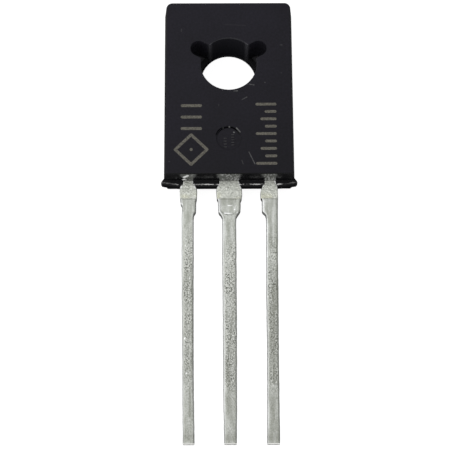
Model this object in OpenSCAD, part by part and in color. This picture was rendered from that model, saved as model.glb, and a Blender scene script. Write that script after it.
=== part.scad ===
// Power transistor in a flat moulded case, with three flat leads in a row.
// A screw hole runs through the case, and two slots beside it are left by the mould pins
// that hold the collector pad down. The pad lies bare in the seating face.
// Origin: on the screw hole's axis, in the seating face. +Y points up the case, away from
// the leads, and +Z points out of the front face. Sizes are in millimetres.

/* [Case] */
// Width of the case at the mould's parting plane
case_w = 7.6; // [7.4:0.05:7.8]
// Height of the case at the parting plane
case_h = 11.01; // [10.7:0.01:11.1]
// Thickness from the seating face to the front face
case_t = 2.6; // [2.5:0.05:2.8]
// Draft of the two long sides, both ways from the parting plane, in degrees
side_draft = 5; // [3:0.5:6]
// Draft of the top end and the lead end, both ways from the parting plane, in degrees
end_draft = 2.5; // [1:0.5:5]
// Radius of the upright edges at the top end
top_corner_r = 0.36; // [0.3:0.02:0.6]
// Radius of the upright edges at the lead end
foot_corner_r = 0.14; // [0.1:0.02:0.3]
// Radius of the edges round the front and the seating face
face_edge_r = 0.09; // [0.05:0.01:0.12]

/* [Screw hole] */
// Radius of the screw hole
hole_r = 1.65; // [1.5:0.05:1.65]
// Distance from the hole's axis to the top end of the case
hole_to_top = 4.04; // [3.8:0.01:4.2]
// Radius of the slot that each hold-down pin leaves
pin_slot_r = 0.48; // [0.4:0.02:0.5]
// Distance from the hole's axis to the axis of a hold-down pin
pin_slot_reach = 2.03; // [1.95:0.01:2.1]
// Direction of a hold-down pin from the hole's axis, in degrees above X
pin_slot_angle = 29.5; // [25:0.5:35]
// Radius of the edges where a slot opens into the hole
slot_mouth_r = 0.12; // [0.08:0.01:0.15]
// Size of the small bevel that breaks the hole's front edge
hole_bevel = 0.04; // [0.02:0.01:0.06]

/* [Front face] */
// Radius of the shallow dish that the ejector pin leaves
dish_r = 0.73; // [0.6:0.01:0.8]
// Depth of the dish
dish_depth = 0.05; // [0.03:0.01:0.08]
// Distance from the screw hole's axis down to the middle of the dish
dish_drop = 4.74; // [4.6:0.02:5]

/* [Dam flash] */
// How far the flash stands below the case, where the moulding reached the dam bar
flash_drop = 0.32; // [0.25:0.01:0.35]
// How far the flash stands out past each side of the case
flash_side = 0.16; // [0.1:0.01:0.2]
// How far the flash runs up each side of the case
flash_rise = 0.14; // [0.1:0.02:0.4]
// Size of the torn bevel along the flash's front edge
flash_bevel = 0.08; // [0.04:0.01:0.12]

/* [Leads] */
// Spacing of the leads where they leave the case
lead_pitch = 2.39; // [2.29:0.01:2.44]
// Thickness of the lead frame strip
strip_t = 0.5; // [0.45:0.01:0.55]
// Height of the lead plane's back above the seating face
lead_z = 1.05; // [1:0.01:1.15]
// Length of the leads below the case
lead_length = 15.4; // [14.6:0.1:16.6]
// Width of an outer lead below its shoulder
outer_lead_w = 0.68; // [0.6:0.01:0.7]
// Width of the middle lead below its shoulder
middle_lead_w = 0.8; // [0.7:0.01:0.85]
// Radius of a lead's long edges below the shoulder
lead_edge_r = 0.12; // [0.08:0.01:0.15]

/* [Collector pad] */
// Width of the pad's bare face
pad_w = 5.4; // [5:0.1:5.6]
// Distance from the screw hole's axis to the pad's top end
pad_top = 2.75; // [2.6:0.05:2.9]
// Distance from the screw hole's axis to the pad's lower end
pad_drop = 4.95; // [4.9:0.01:5]
// Radius of the hole in the pad, which the moulding lines
pad_hole_r = 1.95; // [1.9:0.01:2]
// Width of the coined ledge that locks the pad into the moulding
ledge_w = 0.16; // [0.1:0.01:0.2]

/* [Die and wires] */
// Side of the square silicon die
die_side = 1.8; // [1.6:0.05:1.85]
// Thickness of the die
die_t = 0.25; // [0.2:0.01:0.3]
// Thickness of the solder under the die
solder_t = 0.05; // [0.04:0.01:0.08]
// Distance from the screw hole's axis down to the middle of the die
die_drop = 3.42; // [3.38:0.01:3.45]
// Diameter of the bond wires
wire_d = 0.2; // [0.15:0.01:0.22]
// Height of each wire's bow above the straight line between its feet
wire_bow = 0.72; // [0.6:0.02:0.8]

/* [Hidden] */

black_epoxy = "#26252a";
tinned_copper = "#b4b7ae";
silicon_grey = "#5a5f68";
solder_grey = "#9a9c9c";
wire_silver = "#c8cacc";

round_fn = 48;      // true arcs: any value over 12 gives an exact circle
corner_fn = 32;     // corners inside a hull
slice_t = 0.001;    // thickness of the slices that a hull joins
reach = 1;          // how far a cutter runs past the face that it opens

case_foot = hole_to_top - case_h;       // Y of the lead end, at the parting plane
parting_z = lead_z + strip_t / 2;
lead_front_z = lead_z + strip_t;

// Foot of the flash in plan, from right to left: straight between the leads, then rising a
// little towards its clipped outer corners
flash_half = case_w / 2 + flash_side;
flash_foot = case_foot - flash_drop;
flash_right = [[flash_half, flash_foot + 0.22], [flash_half - 0.08, flash_foot + 0.13],
               [flash_half - 1, flash_foot]];
flash_rim = concat(flash_right, [for (i = [2:-1:0]) [-flash_right[i][0], flash_right[i][1]]]);

pad_foot = -pad_drop;
pad_corner_r = 0.4;

die_y = -die_drop;
die_base_z = strip_t + solder_t;
die_top_z = die_base_z + die_t;
solder_margin = 0.08;

// Edges of the visible leads. Each row is the distance below the case, then how far the
// edge lies from the axis of the lead. The widest stretch is the trimmed dam bar, and the
// narrow stretch below the shoulder runs on to the tip.
exit_sink = 0.06;       // how far the necked exit reaches up into the case
neck_end = 0.2;
flare_end = 0.46;
dam_end = 1.06;
shoulder_start = 1.3;
shoulder_end = 1.96;
bar_start = 2.3;

// Bond posts, the widened inner ends of the two outer leads
post_w = 1.5;
post_top = 1.8;         // distance above the lead end of the case
post_foot = 0.62;

//------------------------------------------------------------------ moulded case

// How far a wall of the given draft has moved in by height z
function drafted(z, draft) = abs(z - parting_z) * tan(draft);

// One thin slice of the case's plan at height z. lift is the height at which the draft is
// taken, and inset draws the outline in further to round the face's edge.
module case_slice(z, lift, inset) {
    for (side = [-1, 1], at_top = [false, true]) {
        full_r = at_top ? top_corner_r : foot_corner_r;
        r = max(full_r - inset, 0.02);
        x = case_w / 2 - drafted(lift, side_draft) - inset - r;
        end_in = drafted(lift, end_draft) + inset + r;
        y = at_top ? hole_to_top - end_in : case_foot + end_in;
        translate([side * x, y, z])
            cylinder(r = r, h = slice_t, $fn = corner_fn);
    }
}

// Half of the case: from the parting plane to a face with a rounded edge. way is +1 towards
// the front face and -1 towards the seating face.
module case_half(face_z, way) {
    edge_z = face_z - way * face_edge_r;
    top_of_slice = way > 0 ? slice_t : 0;
    hull() {
        case_slice(parting_z - top_of_slice, parting_z, 0);
        for (turn = [0, 30, 60, 90])
            case_slice(edge_z + way * face_edge_r * sin(turn) - top_of_slice,
                       edge_z, face_edge_r * (1 - cos(turn)));
    }
}

// Wedge that tears the front edge back between two points of the foot, taken right to left
module torn_edge(start, end) {
    b = flash_bevel;
    run = end - start;
    translate([start[0], start[1], lead_front_z])
        rotate([0, 0, atan2(run[1], run[0])])
            translate([-b, 0, 0])
                rotate([90, 0, 90])
                    linear_extrude(norm(run) + 2 * b)
                        polygon([[-2 * b, b], [b, -2 * b], [b, b]]);
}

// Skirt of flash that filled the frame's openings as far as the dam bar. It is as thick as
// the strip and flush with it, and its front edge is torn back to a bevel.
module dam_flash() {
    top = case_foot + flash_rise;
    shoulder = case_foot - 0.08;
    difference() {
        translate([0, 0, lead_z])
            linear_extrude(strip_t)
                polygon(concat([[-flash_half, shoulder], [-case_w / 2, top],
                                [case_w / 2, top], [flash_half, shoulder]], flash_rim));
        for (i = [0:len(flash_rim) - 2])
            torn_edge(flash_rim[i], flash_rim[i + 1]);
    }
}

// Plan of one hold-down pin's slot, which runs out from the hole along +X. Small rounds
// soften the edges where its straight sides meet the hole.
module pin_slot_plan() {
    translate([0, -pin_slot_r]) square([pin_slot_reach, 2 * pin_slot_r]);
    translate([pin_slot_reach, 0]) circle(r = pin_slot_r, $fn = round_fn);
    round_x = sqrt(pow(hole_r + slot_mouth_r, 2) - pow(pin_slot_r + slot_mouth_r, 2));
    round_y = pin_slot_r + slot_mouth_r;
    to_hole = hole_r / (hole_r + slot_mouth_r);
    for (side = [-1, 1])
        difference() {
            polygon([[round_x, side * pin_slot_r], [round_x, side * round_y],
                     [round_x * to_hole, side * round_y * to_hole],
                     [hole_r / 2, side * pin_slot_r / 2]]);
            translate([round_x, side * round_y]) circle(r = slot_mouth_r, $fn = round_fn);
        }
}

// Both slots, from the top of the pad out through the front face
module pin_slots() {
    for (angle = [pin_slot_angle, 180 - pin_slot_angle])
        rotate([0, 0, angle])
            translate([0, 0, strip_t])
                linear_extrude(case_t)
                    pin_slot_plan();
}

module case() {
    color(black_epoxy)
        difference() {
            union() {
                case_half(case_t, 1);
                case_half(0, -1);
                dam_flash();
            }
            translate([0, 0, -reach])
                cylinder(r = hole_r, h = case_t + 2 * reach, $fn = round_fn);
            translate([0, 0, case_t - hole_bevel])
                cylinder(r1 = hole_r, r2 = hole_r + 2 * hole_bevel, h = 2 * hole_bevel,
                         $fn = round_fn);
            pin_slots();
            translate([0, -dish_drop, case_t - dish_depth])
                cylinder(r = dish_r, h = reach, $fn = round_fn);
            collector_frame();
            emitter_lead();
            base_lead();
            die_solder();
            silicon_die();
            emitter_wire();
            base_wire();
        }
}

//------------------------------------------------------------------ lead frame

// Flat plan of a lead from its exit to the start of the narrow bar. inner and outer each
// hold four distances from the lead's axis: at the neck, across the trimmed dam bar, along
// the shoulder and along the bar. inner lies on the -X side.
module shoulder_plan(inner, outer) {
    stations = [exit_sink, -neck_end, -flare_end, -dam_end,
                -shoulder_start, -shoulder_end, -bar_start];
    which = [0, 0, 1, 1, 2, 2, 3];
    count = len(stations);
    polygon(concat(
        [for (i = [0:count - 1]) [-inner[which[i]], case_foot + stations[i]]],
        [for (i = [count - 1:-1:0]) [outer[which[i]], case_foot + stations[i]]]));
}

// Long narrow bar of a lead, with rounded long edges, from the shoulder to the sheared tip
module lead_bar(low_x, width) {
    length = lead_length - bar_start;
    r = lead_edge_r;
    translate([low_x, case_foot - bar_start, lead_z])
        rotate([90, 0, 0])
            linear_extrude(length)
                union() {
                    translate([r, 0]) square([width - 2 * r, strip_t]);
                    translate([0, r]) square([width, strip_t - 2 * r]);
                    for (x = [r, width - r], z = [r, strip_t - r])
                        translate([x, z]) circle(r = r, $fn = round_fn);
                }
}

// Outer lead on the +X side: bond post, neck, shoulder and bar in one strip
module outer_lead(inner, outer) {
    translate([lead_pitch, 0, 0]) {
        translate([0, 0, lead_z])
            linear_extrude(strip_t) {
                shoulder_plan(inner, outer);
                translate([-inner[0], case_foot])
                    square([inner[0] + outer[0], post_top - 0.1]);
                bond_post_plan();
            }
        lead_bar(-inner[3], outer_lead_w);
    }
}

// Bond post: a wide head that the wire lands on, with clipped corners
module bond_post_plan() {
    clip = 0.25;
    translate([0, case_foot])
        polygon([[-post_w / 2, post_foot], [post_w / 2, post_foot],
                 [post_w / 2, post_top - clip], [post_w / 2 - clip, post_top],
                 [-post_w / 2 + clip, post_top], [-post_w / 2, post_top - clip]]);
}

module emitter_lead() {
    color(tinned_copper)
        mirror([1, 0, 0])
            outer_lead(inner = [0.29, 0.5, 0.45, 0.33], outer = [0.29, 0.48, 0.36, 0.35]);
}

module base_lead() {
    color(tinned_copper)
        outer_lead(inner = [0.33, 0.58, 0.51, 0.28], outer = [0.31, 0.42, 0.41, 0.4]);
}

// Plan of the pad's bare face, with rounded corners
module pad_plan(margin) {
    r = pad_corner_r;
    width = pad_w + 2 * margin;
    height = pad_top - pad_foot + 2 * margin;
    translate([-width / 2, pad_foot - margin]) {
        translate([r, 0]) square([width - 2 * r, height]);
        translate([0, r]) square([width, height - 2 * r]);
        for (x = [r, width - r], y = [r, height - r])
            translate([x, y]) circle(r = r, $fn = round_fn);
    }
}

// Neck of the middle lead, which steps up from the pad to the lead plane inside the case.
// The profile is a strip of even thickness, bent twice through the same angle.
module offset_neck() {
    neck_w = 1.3;
    run = 0.75;
    bend = atan2(lead_z, run);
    shift = strip_t * tan(bend / 2);
    overlap = 0.3;
    translate([-neck_w / 2, 0, 0])
        rotate([90, 0, 90])
            linear_extrude(neck_w)
                polygon([[pad_foot + overlap, 0], [pad_foot, 0], [pad_foot - run, lead_z],
                         [case_foot, lead_z], [case_foot, lead_front_z],
                         [pad_foot - run + shift, lead_front_z],
                         [pad_foot + shift, strip_t], [pad_foot + overlap, strip_t]]);
}

module collector_frame() {
    middle = [0.58, 0.73, 0.66, middle_lead_w / 2];
    color(tinned_copper) {
        difference() {
            union() {
                linear_extrude(strip_t) pad_plan(0);
                translate([0, 0, strip_t / 2])
                    linear_extrude(strip_t / 2) pad_plan(ledge_w);
            }
            translate([0, 0, -reach])
                cylinder(r = pad_hole_r, h = strip_t + 2 * reach, $fn = round_fn);
        }
        offset_neck();
        translate([0, 0, lead_z])
            linear_extrude(strip_t) shoulder_plan(middle, middle);
        lead_bar(-middle_lead_w / 2, middle_lead_w);
    }
}

//------------------------------------------------------------------ die and wires

// Square block centred on the die
module die_block(side, low_z, height) {
    translate([-side / 2, die_y - side / 2, low_z]) cube([side, side, height]);
}

module silicon_die() {
    color(silicon_grey) die_block(die_side, die_base_z, die_t);
}

module die_solder() {
    color(solder_grey) die_block(die_side + 2 * solder_margin, strip_t, solder_t);
}

// Bond wire from the die to a post: an arc of round wire in an upright plane, cut off where
// it meets the two surfaces. start and end are the plan positions of its feet.
module bond_wire(start, end) {
    span = norm(end - start);
    rise = lead_front_z - die_top_z;
    chord = norm([span, rise]);
    tilt = atan2(rise, span);
    arc_r = chord * chord / (8 * wire_bow) + wire_bow / 2;
    half_turn = asin(chord / 2 / arc_r);
    centre = [span / 2 + (arc_r - wire_bow) * sin(tilt),
              (die_top_z + lead_front_z) / 2 - (arc_r - wire_bow) * cos(tilt)];
    spare = 12;
    foot = 4 * wire_d;
    color(wire_silver)
        translate([start[0], start[1], 0])
            rotate([0, 0, atan2(end[1] - start[1], end[0] - start[0])])
                difference() {
                    translate([centre[0], 0, centre[1]])
                        rotate([90, 0, 0])
                            rotate([0, 0, 90 + tilt - half_turn - spare])
                                rotate_extrude(angle = 2 * (half_turn + spare), $fn = round_fn)
                                    translate([arc_r, 0]) circle(d = wire_d, $fn = round_fn);
                    translate([-foot, -foot, die_top_z - foot]) cube([2 * foot, 2 * foot, foot]);
                    translate([span - foot, -foot, lead_front_z - foot])
                        cube([2 * foot, 2 * foot, foot]);
                }
}

die_contact = [0.45, die_y - 0.3];
post_contact = [lead_pitch - 0.1, case_foot + (post_top + post_foot) / 2];

module emitter_wire() {
    mirror([1, 0, 0]) bond_wire(die_contact, post_contact);
}

module base_wire() {
    bond_wire(die_contact, post_contact);
}

case();
collector_frame();
emitter_lead();
base_lead();
silicon_die();
die_solder();
emitter_wire();
base_wire();
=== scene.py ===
"""Looks of a power transistor in a flat moulded case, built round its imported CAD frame.

The CAD nodes keep the case, the die and the wires. The legs are made again here with the rounded
section, the grain and the dipped solder coat of real ones. Lengths are written in millimetres and
turned to metres by MM.
"""

import math

import bmesh
import bpy
import numpy as np
from mathutils import Matrix, Vector


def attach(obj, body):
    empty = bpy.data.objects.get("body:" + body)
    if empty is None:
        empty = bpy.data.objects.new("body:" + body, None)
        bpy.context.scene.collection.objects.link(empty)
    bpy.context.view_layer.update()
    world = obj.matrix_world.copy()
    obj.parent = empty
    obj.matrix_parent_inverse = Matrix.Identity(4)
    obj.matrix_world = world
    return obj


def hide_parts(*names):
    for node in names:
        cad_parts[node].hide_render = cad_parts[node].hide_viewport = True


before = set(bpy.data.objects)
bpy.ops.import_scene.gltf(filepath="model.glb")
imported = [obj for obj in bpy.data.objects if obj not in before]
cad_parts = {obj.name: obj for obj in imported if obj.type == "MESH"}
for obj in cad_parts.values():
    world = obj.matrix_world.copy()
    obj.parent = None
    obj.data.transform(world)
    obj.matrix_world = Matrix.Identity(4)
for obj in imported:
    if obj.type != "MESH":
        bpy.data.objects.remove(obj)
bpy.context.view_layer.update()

MM = 0.001
CASE_HALF_W = 3.8
CASE_FOOT = -6.97        # Y of the case's lead end at the parting plane
FACE_Z = 2.6             # the front face
HOLE_R = 1.65            # the screw hole, whose axis is the origin's Z axis
SLOTS_R = 2.75           # a circle round the hole that holds its two pin slots
DISH_X = -0.04           # centre of the round dish in the front face
DISH_Y = -4.74
DISH_RIM = 0.735         # the dish's radius at the face
PAD_FRONT_Z = 0.5        # front face of the collector's pad
LEAD_BACK_Z = 1.05
LEAD_FRONT_Z = 1.55
DIP_LINE = -8.05         # Y where the solder dip stopped
FLASH_FOOT = -7.29       # Y of the flash's foot between the leads
TIP_Y = -22.37
CUT_Y = -6.90            # Y where the legs made here take over from the sealed CAD leads
FLOOR_Z = -0.02          # a little under the part, so that the two share no plane
LAMP_AIM = (0, -9, 0)


# ---------------------------------------------------------------- camera

def make_camera():
    """Camera on the leads' side of the front face, almost square to it, far away with a long lens.

    Its place is a target on the seating plane plus a distance along the line of sight. The line
    of sight leans from +Z by tilt, and swings by swing about Z. The right and up axes are then
    turned by a small roll about that line.
    """
    tilt, swing, roll = 0.3343497, -0.0160612, 0.0115812
    distance, focal_px = 95.0, 1624.48
    sensor_width, picture_px = 36.0, 450.0
    target = Vector((-0.25387, -9.14447, 0.0))
    back = Vector((math.sin(swing) * math.sin(tilt), -math.cos(swing) * math.sin(tilt),
                   math.cos(tilt)))
    side = Vector((math.cos(swing), math.sin(swing), 0.0))
    lift = back.cross(side)
    right = side * math.cos(roll) + lift * math.sin(roll)
    up = lift * math.cos(roll) - side * math.sin(roll)
    data = bpy.data.cameras.new("camera")
    data.sensor_width = sensor_width
    data.lens = focal_px * sensor_width / picture_px
    data.clip_start, data.clip_end = 0.002, 5.0
    obj = bpy.data.objects.new("camera", data)
    turn = Matrix((right, up, back)).transposed().to_4x4()
    obj.matrix_world = Matrix.Translation((target + back * distance) * MM) @ turn
    bpy.context.scene.collection.objects.link(obj)
    bpy.context.scene.camera = obj


# ---------------------------------------------------------------- node helpers

class Shader:
    """A material's node tree, with short calls to add nodes and join them."""

    def __init__(self, name, kind="material"):
        if kind == "world":
            self.owner = bpy.data.worlds.new(name)
        else:
            self.owner = bpy.data.materials.new(name)
        self.owner.use_nodes = True
        self.tree = self.owner.node_tree
        self.tree.nodes.clear()

    def node(self, kind, inputs=None, **settings):
        """Adds a node, sets its properties, then fills its inputs with values or sockets."""
        made = self.tree.nodes.new(kind)
        for key, value in settings.items():
            setattr(made, key, value)
        for key, value in (inputs or {}).items():
            if isinstance(value, bpy.types.NodeSocket):
                self.tree.links.new(value, made.inputs[key])
            else:
                made.inputs[key].default_value = value
        return made

    def math(self, operation, a, b=0.0, clamp=False):
        """One step of arithmetic on values or sockets; clamp holds the result in 0..1."""
        made = self.node("ShaderNodeMath", {0: a, 1: b}, operation=operation, use_clamp=clamp)
        return made.outputs[0]

    def step(self, value, low, high):
        """0 below low, 1 above high and a smooth rise between; low may be the larger."""
        made = self.node("ShaderNodeMapRange", {0: value, 1: low, 2: high, 3: 0.0, 4: 1.0},
                         interpolation_type="SMOOTHSTEP")
        return made.outputs[0]

    def spread(self, value, low, high, to_low, to_high):
        """Straight-line change of scale from low..high to to_low..to_high, held at the ends."""
        made = self.node("ShaderNodeMapRange", {0: value, 1: low, 2: high, 3: to_low, 4: to_high})
        return made.outputs[0]

    def mix(self, share, a, b):
        """Colour a where share is 0 and b where it is 1."""
        made = self.node("ShaderNodeMix", {0: share, 6: a, 7: b}, data_type="RGBA")
        return made.outputs[2]

    def noise(self, vector, size, detail=2.0, roughness=0.5, distortion=0.0):
        """Noise whose features are about size millimetres across."""
        made = self.node("ShaderNodeTexNoise",
                         {"Vector": vector, "Scale": 1.0 / (size * MM), "Detail": detail,
                          "Roughness": roughness, "Distortion": distortion})
        return made.outputs[0]

    def stretched(self, vector, scale, shift=(0.0, 0.0, 0.0)):
        """The coordinates scaled along each axis, then moved."""
        made = self.node("ShaderNodeMapping", {"Vector": vector, "Scale": scale,
                                               "Location": shift})
        return made.outputs[0]

    def near_line(self, flat, mark):
        """1 within mark's width of its straight line in plan, with a soft edge, times its
        amount. mark is (x0, y0, x1, y1, width, amount) in millimetres."""
        x0, y0, x1, y1, width, amount = mark
        run, rise = x1 - x0, y1 - y0
        length = max(run * run + rise * rise, 1e-6) * MM
        start = (x0 * MM, y0 * MM, 0.0)
        off = self.node("ShaderNodeVectorMath", {0: flat, 1: start}, operation="SUBTRACT")
        along = self.node("ShaderNodeVectorMath",
                          {0: off.outputs[0], 1: (run / length, rise / length, 0.0)},
                          operation="DOT_PRODUCT").outputs["Value"]
        share = self.math("ADD", along, 0.0, clamp=True)
        foot = self.node("ShaderNodeVectorMath", {0: (run * MM, rise * MM, 0.0), "Scale": share},
                         operation="SCALE")
        away = self.node("ShaderNodeVectorMath", {0: off.outputs[0], 1: foot.outputs[0]},
                         operation="DISTANCE").outputs["Value"]
        return self.math("MULTIPLY", self.step(away, width * MM, 0.4 * width * MM), amount)

    def finish(self, surface):
        """Joins the surface to an output node and returns the material or world."""
        is_world = isinstance(self.owner, bpy.types.World)
        made = self.node("ShaderNodeOutputWorld" if is_world else "ShaderNodeOutputMaterial")
        self.tree.links.new(surface, made.inputs["Surface"])
        return self.owner


def grey(level):
    """A neutral colour."""
    return (level, level, level, 1.0)


# ---------------------------------------------------------------- materials

def laid_flat(s, place, upright):
    """Coordinates in the plane of a face: X and Y or, if upright, X and Z as on the lead end."""
    if not upright:
        return s.stretched(place, (1.0, 1.0, 0.0))
    parts = s.node("ShaderNodeSeparateXYZ", {0: place}).outputs
    return s.node("ShaderNodeCombineXYZ", {0: parts[0], 1: parts[2]}).outputs[0]


def add_marks_and_painted_light(s, place, base, marks, upright):
    """The base colour with single scratches and chips over it, and with painted shade, painted
    highlights and painted reflections drawn the same way, on the case's front half only.

    A mark is light where its amount is above 0 and black where it is below. Marks are ragged or,
    if upright, broken into bright grains, but an amount of 1 gives an unbroken one.
    """
    if upright:
        wear = s.noise(s.stretched(place, (1.0, 1.0, 0.35)), 0.10, detail=1.0)
        ragged = s.step(wear, 0.52, 0.60)
        pale, chip_and_highlight = grey(0.50), grey(0.95)
    else:
        wear = s.noise(place, 0.10, detail=1.0)
        ragged = s.spread(wear, 0.35, 0.6, 0.3, 1.0)
        pale = chip_and_highlight = grey(0.11)
    black = (0.0, 0.0, 0.001, 1.0)
    flat = laid_flat(s, place, upright)
    height = s.node("ShaderNodeSeparateXYZ", {0: place}).outputs[2]
    lowest = 1.4
    front = s.step(height, lowest * MM, (lowest + 0.1) * MM)
    # Besides scratches, chips and specks, these marks paint shade, highlights and reflections.
    for x0, y0, x1, y1, width, amount in marks:
        share = s.near_line(flat, (x0, y0, x1, y1, width, abs(amount)))
        share = s.math("MULTIPLY", share, front)
        tone = pale if amount > 0 else black
        if amount < 1.0:
            share = s.math("MULTIPLY", share, ragged)
        else:
            tone = chip_and_highlight
        base = s.mix(share, base, tone)
    return base


def epoxy(name, colour, roughness, specular, polish=False, marks=(), upright=False):
    """Black moulding epoxy: cloudy colour with fine grain, and painted shade that makes it a little
    darker towards the lead end and the right. marks are scratches and chips, with painted shade,
    painted highlights and painted reflections among them, laid out in X and Y or, if upright, in X
    and Z.
    An upright face is also smoother in front of the leads, where its first three marks, painted
    reflections of the leads, are."""
    s = Shader(name)
    place = s.node("ShaderNodeTexCoord").outputs["Object"]
    clouds = s.noise(place, 2.4, detail=3.0)
    grain = s.noise(place, 0.13, detail=3.0, roughness=0.6)
    slope = s.node("ShaderNodeVectorMath", {0: place, 1: (0.45 / MM, -0.9 / MM, 0.0)},
                   operation="DOT_PRODUCT").outputs["Value"]
    tone = s.math("ADD", s.spread(clouds, 0.3, 0.7, 0.82, 1.14),
                  s.spread(grain, 0.3, 0.7, -0.26, 0.26))
    # Painted shade: darker towards the lead end and the right.
    tone = s.math("MULTIPLY", tone, s.spread(slope, 0.0, 6.75, 0.95, 0.58))
    base = s.node("ShaderNodeMix", {0: 1.0, 6: (*colour, 1.0), 7: tone},
                  data_type="RGBA", blend_type="MULTIPLY").outputs[2]
    if marks:
        base = add_marks_and_painted_light(s, place, base, marks, upright)
    rough = s.spread(clouds, 0.3, 0.7, roughness - 0.04, roughness + 0.05)
    if upright:
        outside = 0.18
        flat = laid_flat(s, place, upright)
        smooth = s.near_line(flat, (*marks[0][:5], 1.0))
        for mark in marks[1:3]:
            smooth = s.math("MAXIMUM", smooth, s.near_line(flat, (*mark[:5], 1.0)))
        rough = s.math("SUBTRACT", roughness + outside, s.math("MULTIPLY", smooth, outside))
    bevel = s.node("ShaderNodeBevel", {"Radius": 0.06 * MM}, samples=6).outputs[0]
    bump = s.node("ShaderNodeBump", {"Height": grain, "Normal": bevel,
                                     "Strength": 0.25 if polish else 0.6,
                                     "Distance": 0.004 * MM}).outputs[0]
    shader = s.node("ShaderNodeBsdfPrincipled",
                    {"Base Color": base, "Roughness": rough, "Specular IOR Level": specular,
                     "IOR": 1.55, "Normal": bump})
    return s.finish(shader.outputs[0])


def bore(name):
    """Black epoxy of the hole and its slots. It carries a painted highlight on the two narrow
    ridges between the slots and the hole, painted reflections low on the hole's sides and painted
    light along its back rim."""
    s = Shader(name)
    place = s.node("ShaderNodeTexCoord").outputs["Object"]
    parts = s.node("ShaderNodeSeparateXYZ", {0: place}).outputs
    radius = s.node("ShaderNodeVectorMath", {0: s.stretched(place, (1.0, 1.0, 0.0))},
                    operation="LENGTH").outputs["Value"]
    angle = s.math("ARCTAN2", parts[1], s.math("ABSOLUTE", parts[0]))
    # Painted highlight on the ridges, painted reflections low on the sides, painted light along the
    # back rim.
    ridge = s.math("MULTIPLY", s.step(angle, 0.78, 0.83), s.step(angle, 1.00, 0.86))
    side = s.math("MULTIPLY", s.step(angle, 0.45, 0.20), s.step(parts[2], 1.3 * MM, 0.5 * MM))
    rim = s.math("MULTIPLY", s.step(parts[2], 0.42 * MM, 0.20 * MM), 0.25)
    light = s.math("MAXIMUM", s.math("MULTIPLY", ridge, 0.7), s.math("MAXIMUM", side, rim))
    in_hole = s.step(radius, (HOLE_R + 0.19) * MM, (HOLE_R + 0.09) * MM)
    light = s.math("MULTIPLY", light, in_hole)
    wall = s.mix(in_hole, (0.0088, 0.0083, 0.0132, 1.0), (0.0110, 0.0110, 0.0150, 1.0))
    base = s.mix(light, wall, (0.060, 0.060, 0.068, 1.0))
    shader = s.node("ShaderNodeBsdfPrincipled", {"Base Color": base, "Roughness": 0.55,
                                                 "Specular IOR Level": 0.35})
    return s.finish(shader.outputs[0])


def torn(name):
    """Satin epoxy of the flash, with a pale line along its foot where it was torn off. The line
    is broken into dashes and is fainter outside the outer leads, where the foot slopes up."""
    s = Shader(name)
    place = s.node("ShaderNodeTexCoord").outputs["Object"]
    parts = s.node("ShaderNodeSeparateXYZ", {0: place}).outputs
    outer_leads_edge, foot_slope = 2.96, 0.14
    outward = s.math("SUBTRACT", s.math("ABSOLUTE", parts[0]), outer_leads_edge * MM)
    foot = s.math("ADD", s.math("MULTIPLY", s.math("MAXIMUM", outward, 0.0), foot_slope),
                  FLASH_FOOT * MM)
    ragged = s.spread(s.noise(place, 0.12, detail=2.0), 0.3, 0.7, -0.015 * MM, 0.015 * MM)
    above = s.math("ADD", s.math("SUBTRACT", parts[1], foot), ragged)
    band = s.math("MULTIPLY", s.step(above, 0.065 * MM, 0.085 * MM),
                  s.step(above, 0.140 * MM, 0.120 * MM))
    front = s.step(parts[2], 1.46 * MM, 1.49 * MM)
    dashes = s.noise(s.stretched(place, (0.45, 1.0, 1.0)), 0.17, detail=3.0, roughness=0.65)
    inner = s.spread(outward, 0.0, 0.2 * MM, 1.0, 0.20)
    pale = s.math("MULTIPLY", s.math("MULTIPLY", band, front),
                  s.math("MULTIPLY", s.step(dashes, 0.38, 0.56), inner))
    base = s.mix(pale, (0.0030, 0.0032, 0.0040, 1.0), (0.62, 0.62, 0.61, 1.0))
    bump = s.node("ShaderNodeBump", {"Height": dashes, "Strength": 0.6,
                                     "Distance": 0.012 * MM}).outputs[0]
    shader = s.node("ShaderNodeBsdfPrincipled", {"Base Color": base, "Roughness": 0.5,
                                                 "Specular IOR Level": 0.15, "Normal": bump})
    return s.finish(shader.outputs[0])


def gritty_coat(s, place, y, fine):
    """Colour and relief above the dip line: a coarse matte grain, crossed by curly dark creases,
    with bright glints, and yellower near the dip."""
    grit = s.noise(place, 0.16, detail=2.0, roughness=0.6, distortion=0.8)
    curl = s.noise(place, 0.30, detail=1.0, roughness=0.4, distortion=1.6)
    crease = s.step(s.math("ABSOLUTE", s.math("SUBTRACT", curl, 0.5)), 0.035, 0.010)
    crease = s.math("MULTIPLY", crease, s.step(grit, 0.42, 0.55))
    base = s.mix(s.spread(grit, 0.34, 0.66, 0.0, 1.0), (0.44, 0.455, 0.41, 1.0),
                 (0.72, 0.735, 0.68, 1.0))
    base = s.mix(s.math("MULTIPLY", crease, 0.55), base, (0.27, 0.28, 0.25, 1.0))
    glint = s.step(fine, 0.66, 0.74)
    base = s.mix(s.math("MULTIPLY", glint, 0.8), base, (0.93, 0.94, 0.92, 1.0))
    low = s.step(y, -7.5 * MM, DIP_LINE * MM)
    yellow = s.math("MULTIPLY", low, s.step(s.noise(place, 0.9, detail=1.0), 0.42, 0.6))
    base = s.mix(s.math("MULTIPLY", yellow, 0.5), base, (0.60, 0.60, 0.45, 1.0))
    return base, grit


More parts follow.
